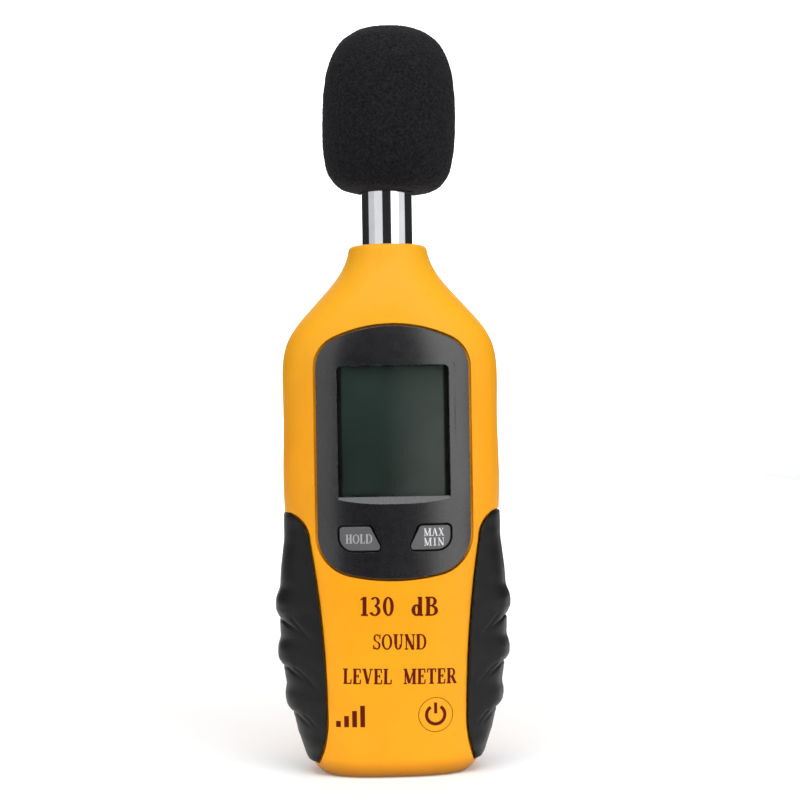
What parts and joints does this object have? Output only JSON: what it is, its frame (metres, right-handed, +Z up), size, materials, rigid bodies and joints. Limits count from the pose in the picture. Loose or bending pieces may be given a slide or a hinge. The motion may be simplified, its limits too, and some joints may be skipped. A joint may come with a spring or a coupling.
{
  "type": "sound level meter",
  "caption": "Handheld sound level meter with a display panel, two function keys, a power key, side grips and a foam windscreen over its microphone.",
  "frame": {"origin": "middle of the flat base, under the middle of the foam windscreen; the meter stands upright", "axes": "+Z up towards the microphone; the face with the display looks along -Y, and +X is on the right of someone facing it"},
  "size_m": [0.0592, 0.0338, 0.185],
  "materials": {
    "case_plastic": "satin amber ABS",
    "grip_rubber": "matt black moulded rubber",
    "panel_plastic": "smooth near-black",
    "key_rubber": "grey silicone",
    "display_window": "tinted clear acrylic",
    "display_glass": "liquid crystal cell",
    "backlight_plastic": "light guide",
    "contact_rubber": "striped contact rubber",
    "switch_plastic": "black",
    "plunger_plastic": "dark red",
    "circuit_board": "green solder mask",
    "chip_plastic": "black epoxy",
    "capacitor_metal": "bright cans",
    "trimmer_plastic": "blue",
    "crystal_steel": "drawn can",
    "screw_steel": "zinc plated",
    "socket_brass": "turned",
    "tube_chrome": "polished",
    "bush_rubber": "black",
    "holder_plastic": "black",
    "capsule_aluminium": "satin",
    "grid_steel": "perforated",
    "lead_black": "wire insulation",
    "lead_red": "wire insulation",
    "foam": "open-cell foam",
    "battery_wrap": "printed metal wrap",
    "terminal_steel": "nickel plated",
    "tray_plastic": "black",
    "snap_plastic": "black vinyl"
  },
  "bodies": {
    "meter": {"front_case": "case_plastic", "rear_case": "case_plastic", "right_grip": "grip_rubber", "left_grip": "grip_rubber", "front_panel": "panel_plastic", "display_lens": "display_window", "display_front_glass": "display_glass", "display_rear_glass": "display_glass", "backlight": "backlight_plastic", "contact_strip": "contact_rubber", "tact_switches": "switch_plastic", "main_board": "circuit_board", "main_chip": "chip_plastic", "amplifier_chips": "chip_plastic", "capacitors": "capacitor_metal", "calibration_trimmer": "trimmer_plastic", "timing_crystal": "crystal_steel", "board_screws": "screw_steel", "case_screws": "screw_steel", "tripod_socket": "socket_brass", "microphone_tube": "tube_chrome", "tube_bush": "bush_rubber", "capsule_holder": "holder_plastic", "microphone_capsule": "capsule_aluminium", "microphone_grid": "grid_steel", "microphone_lead": "lead_black", "block_battery": "battery_wrap", "battery_terminals": "terminal_steel", "battery_tray": "tray_plastic", "battery_snap": "snap_plastic", "red_lead": "lead_red", "black_lead": "lead_black"},
    "hold_key_body": {"hold_key": "key_rubber", "hold_plunger": "plunger_plastic"},
    "max_min_key_body": {"max_min_key": "key_rubber", "max_min_plunger": "plunger_plastic"},
    "power_key_body": {"power_key": "case_plastic", "power_plunger": "plunger_plastic"},
    "windscreen_body": {"windscreen": "foam"},
    "door_body": {"battery_door": "case_plastic"}
  },
  "joints": [
    {"name": "hold_press", "type": "slide", "parent": "meter", "child": "hold_key_body", "axis": [0, 1, 0], "range_m": [0, 0.0005], "stiffness_N_per_m": 800},
    {"name": "max_min_press", "type": "slide", "parent": "meter", "child": "max_min_key_body", "axis": [0, 1, 0], "range_m": [0, 0.0005], "stiffness_N_per_m": 800},
    {"name": "power_press", "type": "slide", "parent": "meter", "child": "power_key_body", "axis": [0, 1, 0], "range_m": [0, 0.0005], "stiffness_N_per_m": 800},
    {"name": "windscreen_pull", "type": "slide", "parent": "meter", "child": "windscreen_body", "axis": [0, 0, 1], "range_m": [0, 0.032]},
    {"name": "battery_door_hinge", "type": "hinge", "parent": "meter", "child": "door_body", "pos_m": [0, 0.0143, 0.013], "axis": [-1, 0, 0], "range_deg": [0, 75]}
  ]
}
